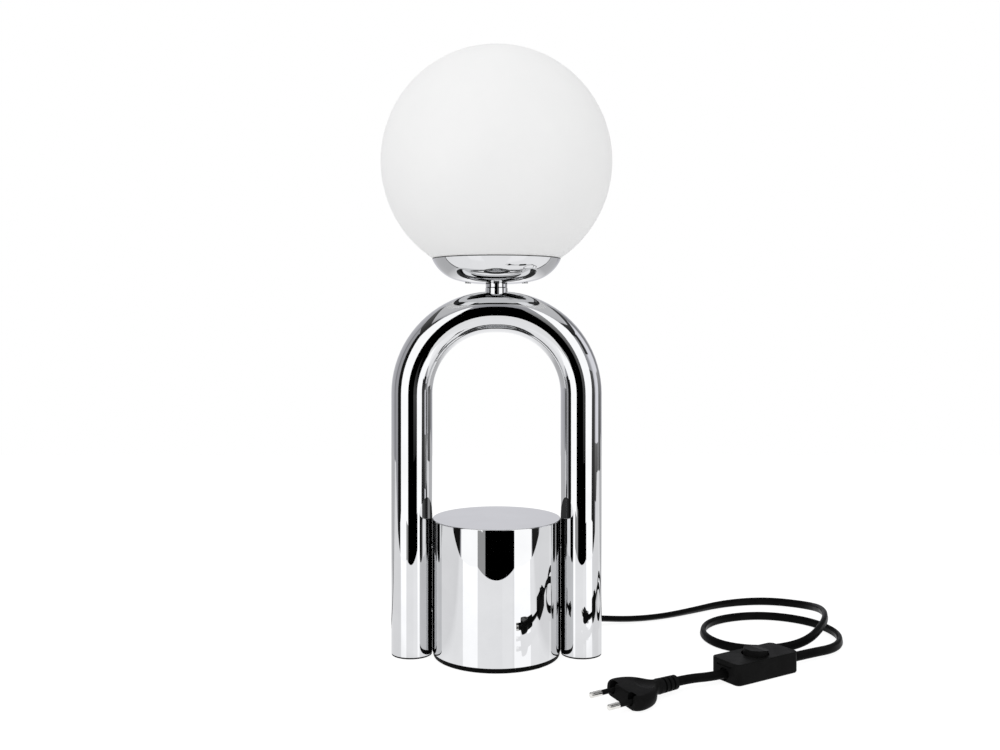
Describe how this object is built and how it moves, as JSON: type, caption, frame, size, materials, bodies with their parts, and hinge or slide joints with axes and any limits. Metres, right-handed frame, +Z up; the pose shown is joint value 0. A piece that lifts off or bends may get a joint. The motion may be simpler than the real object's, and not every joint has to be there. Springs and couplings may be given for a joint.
{
  "type": "table lamp",
  "caption": "Chrome arch table lamp: a bent tube astride a drum base, a dish with an opal glass globe, and a flat black cord with in-line switch and plug.",
  "frame": {"origin": "centre of the drum's underside, where the lamp stands", "axes": "+Z up along the lamp's axis, +X towards the leg that the cord leaves, -Y the side seen in the picture"},
  "size_m": [0.3718, 0.2766, 0.4732],
  "materials": {
    "chrome": "polished chrome plate",
    "black_rubber": "satin",
    "zinc_steel": "zinc plated",
    "iron": "raw casting",
    "opal_glass": "etched opal, satin outside",
    "brass": "plain",
    "nickel": "nickel plated",
    "alloy": "turned",
    "black_plastic": "satin moulded",
    "holder_plastic": "matt moulded",
    "cord_black": "smooth sheath",
    "white_plastic": "satin moulded",
    "opal_plastic": "translucent opal"
  },
  "bodies": {
    "lamp": {"arch_tube": "chrome", "left_foot": "black_rubber", "right_foot": "black_rubber", "base_can": "chrome", "can_boss": "zinc_steel", "base_weight": "iron", "base_plate": "zinc_steel", "tie_bolt": "zinc_steel", "base_pad": "black_rubber", "leg_bolts": "zinc_steel", "leg_nuts": "zinc_steel", "nipple": "zinc_steel", "saddle_nut": "zinc_steel", "neck_saddle": "chrome", "neck_collar": "chrome", "dish": "chrome", "globe_carrier": "alloy", "carrier_screws": "zinc_steel", "dish_washer": "zinc_steel", "dish_nut": "zinc_steel", "holder_base": "holder_plastic", "holder_shell": "holder_plastic", "holder_screw_shell": "brass", "holder_contact": "brass", "holder_terminals": "brass", "cord_gland": "black_plastic", "inner_lead": "cord_black", "lamp_cord": "cord_black", "plug_cord": "cord_black", "switch_tray": "black_plastic", "switch_lid": "black_plastic", "switch_screws": "zinc_steel", "switch_terminals": "brass", "switch_contact": "brass", "plug_body": "black_plastic", "plug_pins": "nickel", "plug_sleeves": "black_plastic"},
    "globe": {"globe": "opal_glass"},
    "bulb": {"bulb_tip": "brass", "bulb_insulator": "black_plastic", "bulb_cap": "nickel", "bulb_housing": "white_plastic", "bulb_dome": "opal_plastic"},
    "rocker": {"switch_rocker": "black_plastic"}
  },
  "joints": [
    {"name": "globe_lift", "type": "slide", "parent": "lamp", "child": "globe", "axis": [0, 0, 1], "range_m": [0, 0.14]},
    {"name": "bulb_lift", "type": "slide", "parent": "lamp", "child": "bulb", "axis": [0, 0, 1], "range_m": [0, 0.03]},
    {"name": "rocker_tilt", "type": "hinge", "parent": "lamp", "child": "rocker", "pos_m": [0.19, -0.05, 0.011], "axis": [0.5299, -0.848, 0], "range_deg": [0, 12]}
  ]
}
